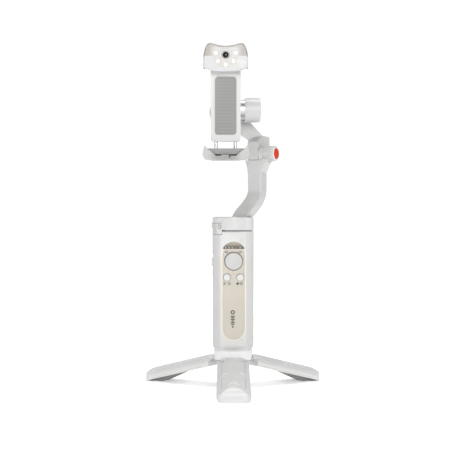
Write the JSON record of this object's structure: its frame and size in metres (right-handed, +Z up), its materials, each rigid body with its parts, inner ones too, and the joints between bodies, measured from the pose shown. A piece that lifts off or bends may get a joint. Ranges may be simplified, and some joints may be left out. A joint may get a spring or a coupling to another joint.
{
  "type": "gimbal stabilizer",
  "caption": "Hand-held three-axis phone gimbal on a folding tripod, with a spring-clamp phone holder, joystick handle and clip-on tracking sensor with light ring.",
  "frame": {"origin": "on the floor, on the axis of the handle, in the middle of the tripod's three feet", "axes": "+Z up along the handle, -Y towards the user who faces the control panel, +X to that user's right"},
  "size_m": [0.1686, 0.1481, 0.3195],
  "materials": {
    "shell": "satin",
    "arm": "satin",
    "sensor_shell": "satin",
    "panel": "satin",
    "trim": "satin",
    "buttons": "satin",
    "window": "gloss",
    "light": "gloss",
    "diffuser": "satin",
    "lens": "gloss",
    "release": "gloss",
    "rubber": "matte",
    "steel": "brushed",
    "rotor": "satin",
    "winding": "satin",
    "brass": "satin",
    "board": "satin",
    "module": "matte",
    "battery": "satin"
  },
  "bodies": {
    "handle": {"tripod_collar": "shell", "tripod_base": "shell", "tripod_stud": "steel", "leg_pins": "steel", "handle_front_shell": "shell", "handle_rear_shell": "shell", "thread_insert": "brass", "neck_gasket": "rubber", "fold_pin": "steel", "control_panel": "panel", "panel_trim": "trim", "status_window": "window", "status_leds": "light", "control_board": "board", "joystick_module": "module", "battery_cell": "battery", "usb_socket": "steel"},
    "front_leg": {"leg_front": "shell", "foot_front": "rubber"},
    "right_leg": {"leg_right": "shell", "foot_right": "rubber"},
    "left_leg": {"leg_left": "shell", "foot_left": "rubber"},
    "joystick_gimbal": {"joystick_yoke": "module"},
    "joystick": {"joystick_cap": "buttons"},
    "capture": {"capture_button": "buttons"},
    "mode": {"mode_button": "buttons"},
    "zoom": {"zoom_slider": "buttons"},
    "pan_base": {"pan_housing": "shell", "pan_stator": "winding", "pan_bearings": "steel"},
    "latch": {"fold_latch": "arm"},
    "pan_arm": {"pan_rotor": "rotor", "lower_arm": "arm", "lower_arm_cover": "arm", "arm_pin": "steel"},
    "arm_release": {"arm_release_button": "release"},
    "roll_arm": {"upper_arm": "arm", "roll_cover": "arm", "roll_stator": "winding", "roll_bearings": "steel"},
    "tilt_bracket": {"roll_rotor": "rotor", "roll_bracket": "arm", "tilt_cover": "arm", "tilt_stator": "winding", "tilt_bearings": "steel"},
    "clamp": {"tilt_rotor": "rotor", "clamp_body": "shell", "back_pad": "rubber", "upper_jaw_pad": "rubber"},
    "sliding_jaw": {"lower_jaw": "arm", "lower_jaw_pad": "rubber", "guide_rods": "steel"},
    "sensor": {"sensor_front": "sensor_shell", "sensor_rear": "shell", "sensor_lens": "lens", "sensor_leds": "light", "sensor_diffuser": "diffuser"}
  },
  "joints": [
    {"name": "front_leg_fold", "type": "hinge", "parent": "handle", "child": "front_leg", "pos_m": [0, -0.011, 0.025], "axis": [1, 0, 0], "range_deg": [0, 73]},
    {"name": "right_leg_fold", "type": "hinge", "parent": "handle", "child": "right_leg", "pos_m": [0.00953, 0.0055, 0.025], "axis": [-0.5, 0.866, 0], "range_deg": [0, 73]},
    {"name": "left_leg_fold", "type": "hinge", "parent": "handle", "child": "left_leg", "pos_m": [-0.00953, 0.0055, 0.025], "axis": [-0.5, -0.866, 0], "range_deg": [0, 73]},
    {"name": "joystick_up_down", "type": "hinge", "parent": "handle", "child": "joystick_gimbal", "pos_m": [0.0004, -0.012, 0.1183], "axis": [1, 0, 0], "range_deg": [-8, 8], "stiffness_Nm_per_rad": 0.01},
    {"name": "joystick_left_right", "type": "hinge", "parent": "joystick_gimbal", "child": "joystick", "pos_m": [0.0004, -0.012, 0.1183], "axis": [0, 0, 1], "range_deg": [-8, 8], "stiffness_Nm_per_rad": 0.01},
    {"name": "capture_press", "type": "slide", "parent": "handle", "child": "capture", "axis": [0, 1, 0], "range_m": [0, 0.0008], "stiffness_N_per_m": 400},
    {"name": "mode_press", "type": "slide", "parent": "handle", "child": "mode", "axis": [0, 1, 0], "range_m": [0, 0.0008], "stiffness_N_per_m": 400},
    {"name": "zoom_slide", "type": "slide", "parent": "handle", "child": "zoom", "axis": [0, 0, 1], "range_m": [-0.003, 0.003], "stiffness_N_per_m": 150},
    {"name": "handle_fold", "type": "hinge", "parent": "handle", "child": "pan_base", "pos_m": [0, 0.0229, 0.1466], "axis": [-1, 0, 0], "range_deg": [0, 110]},
    {"name": "latch_press", "type": "slide", "parent": "pan_base", "child": "latch", "axis": [0.9063, 0.4226, 0], "range_m": [0, 0.001], "stiffness_N_per_m": 400},
    {"name": "pan", "type": "hinge", "parent": "pan_base", "child": "pan_arm", "pos_m": [0, 0, 0.155], "axis": [0, 0, 1], "range_deg": [-160, 160]},
    {"name": "release_press", "type": "slide", "parent": "pan_arm", "child": "arm_release", "axis": [-0.891, 0.454, 0], "range_m": [0, 0.0012], "stiffness_N_per_m": 400},
    {"name": "arm_fold", "type": "hinge", "parent": "pan_arm", "child": "roll_arm", "pos_m": [0.0233, 0.018, 0.2195], "axis": [-0.891, 0.454, 0], "range_deg": [0, 90]},
    {"name": "roll", "type": "hinge", "parent": "roll_arm", "child": "tilt_bracket", "pos_m": [-0.007, 0.03, 0.2606], "axis": [0, -1, 0], "range_deg": [-100, 100]},
    {"name": "tilt", "type": "hinge", "parent": "tilt_bracket", "child": "clamp", "pos_m": [0.01, 0.0055, 0.2606], "axis": [-1, 0, 0], "range_deg": [-18, 40]},
    {"name": "jaw_slide", "type": "slide", "parent": "clamp", "child": "sliding_jaw", "axis": [0, 0, 1], "range_m": [-0.012, 0.012]},
    {"name": "sensor_lift", "type": "slide", "parent": "clamp", "child": "sensor", "axis": [0, 0, 1], "range_m": [0, 0.008]}
  ]
}
